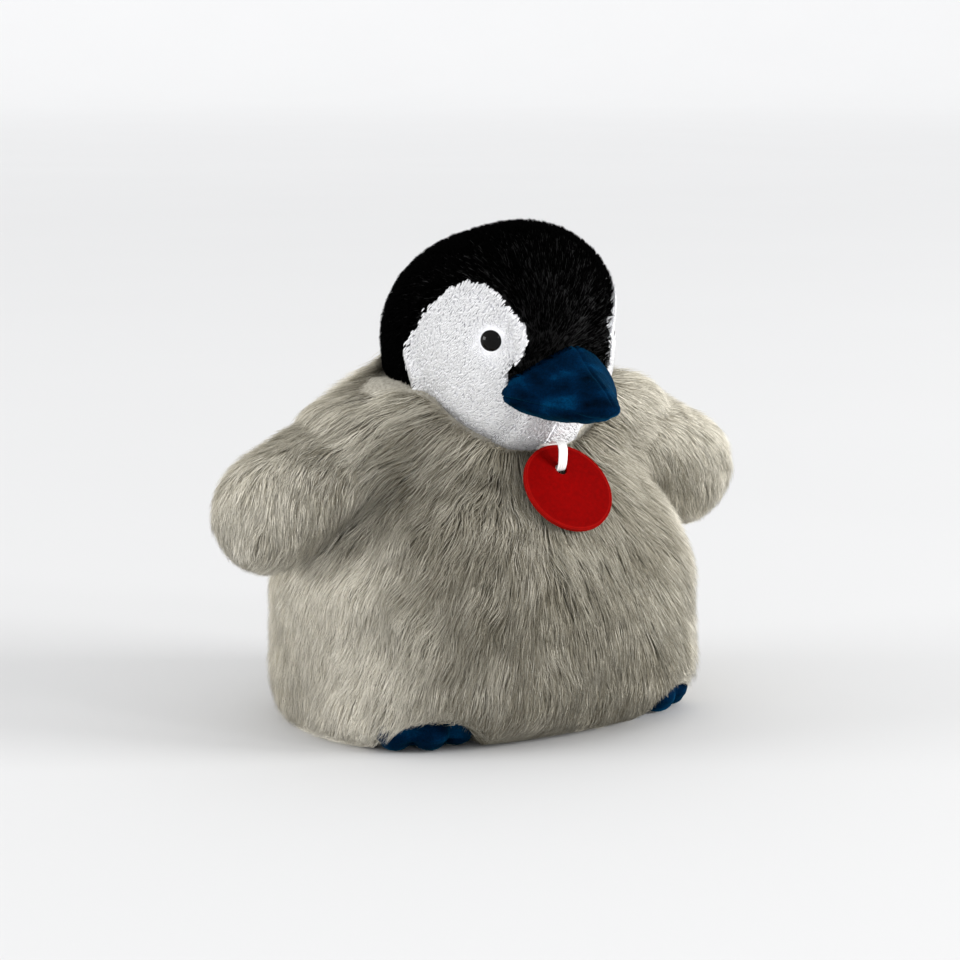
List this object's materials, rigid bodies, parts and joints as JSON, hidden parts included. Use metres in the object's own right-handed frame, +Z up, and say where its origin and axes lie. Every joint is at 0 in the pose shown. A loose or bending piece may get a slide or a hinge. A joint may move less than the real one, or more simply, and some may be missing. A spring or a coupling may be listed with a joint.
{
  "type": "plush penguin",
  "caption": "Sitting plush penguin chick with a round long-pile body, short-pile head, soft bill, stub wings, velour feet and a blank hang tag on a ribbon loop.",
  "frame": {"origin": "on the floor under the middle of the body, at the centre of the flat base panel", "axes": "+Z up; the chick faces -Y; +X is its own left"},
  "size_m": [0.2556, 0.178, 0.2085],
  "materials": {
    "body_fur": "long-pile grey-beige faux fur, laid downwards",
    "hood_fur": "short-pile black plush",
    "face_fur": "short-pile white plush",
    "velour": "dark blue short velour with sheen",
    "stuffing": "white polyester fibre",
    "eye_plastic": "glossy black",
    "washer_plastic": "natural plastic",
    "bag_cloth": "plain non-woven cloth",
    "pellets": "small plastic pellets",
    "label_satin": "blank woven satin",
    "thread": "sewing thread",
    "tag_card": "glossy red laminated card, blank",
    "ribbon": "white satin ribbon"
  },
  "bodies": {
    "torso": {"chest_panel": "body_fur", "flank_panel_left": "body_fur", "flank_panel_right": "body_fur", "back_panel_left": "body_fur", "back_panel_right": "body_fur", "base_panel": "body_fur", "torso_stuffing": "stuffing", "pellet_bag": "bag_cloth", "pellet_fill": "pellets", "care_label": "label_satin", "tag_anchor": "thread"},
    "neck": {"neck_core": "stuffing"},
    "head": {"crown_gusset": "hood_fur", "crown_panel_left": "hood_fur", "crown_panel_right": "hood_fur", "cheek_panel_left": "face_fur", "cheek_panel_right": "face_fur", "chin_panel": "face_fur", "head_stuffing": "stuffing", "eye_left": "eye_plastic", "eye_right": "eye_plastic", "eye_washer_left": "washer_plastic", "eye_washer_right": "washer_plastic", "upper_bill": "velour", "lower_bill": "velour", "bill_stuffing": "stuffing"},
    "wing_left": {"wing_left_front": "body_fur", "wing_left_back": "body_fur", "wing_left_stuffing": "stuffing"},
    "wing_right": {"wing_right_front": "body_fur", "wing_right_back": "body_fur", "wing_right_stuffing": "stuffing"},
    "foot_left": {"foot_left_upper": "velour", "foot_left_sole": "velour", "foot_left_stuffing": "stuffing"},
    "foot_right": {"foot_right_upper": "velour", "foot_right_sole": "velour", "foot_right_stuffing": "stuffing"},
    "tag": {"hang_tag": "tag_card", "tag_loop": "ribbon"}
  },
  "joints": [
    {"name": "neck_turn", "type": "hinge", "parent": "torso", "child": "neck", "pos_m": [0, -0.012, 0.1555], "axis": [0, 0, 1], "range_deg": [-30, 30], "stiffness_Nm_per_rad": 0.25},
    {"name": "head_nod", "type": "hinge", "parent": "neck", "child": "head", "pos_m": [0, -0.012, 0.1555], "axis": [-1, 0, 0], "range_deg": [-8, 12], "stiffness_Nm_per_rad": 0.6},
    {"name": "wing_left_lift", "type": "hinge", "parent": "torso", "child": "wing_left", "pos_m": [0.066, 0, 0.1115], "axis": [0, -1, 0], "range_deg": [0, 60], "stiffness_Nm_per_rad": 0.05},
    {"name": "wing_right_lift", "type": "hinge", "parent": "torso", "child": "wing_right", "pos_m": [-0.066, 0, 0.1115], "axis": [0, 1, 0], "range_deg": [0, 60], "stiffness_Nm_per_rad": 0.05},
    {"name": "foot_left_bend", "type": "hinge", "parent": "torso", "child": "foot_left", "pos_m": [0.05113, -0.0212, 0.0084], "axis": [-0.9781, -0.2079, 0], "range_deg": [0, 10], "stiffness_Nm_per_rad": 0.03},
    {"name": "foot_right_bend", "type": "hinge", "parent": "torso", "child": "foot_right", "pos_m": [-0.05113, -0.0212, 0.0084], "axis": [-0.9781, 0.2079, 0], "range_deg": [0, 10], "stiffness_Nm_per_rad": 0.03},
    {"name": "tag_swing", "type": "hinge", "parent": "torso", "child": "tag", "pos_m": [0, -0.04661, 0.11908], "axis": [-1, 0, 0], "range_deg": [0, 20]}
  ]
}
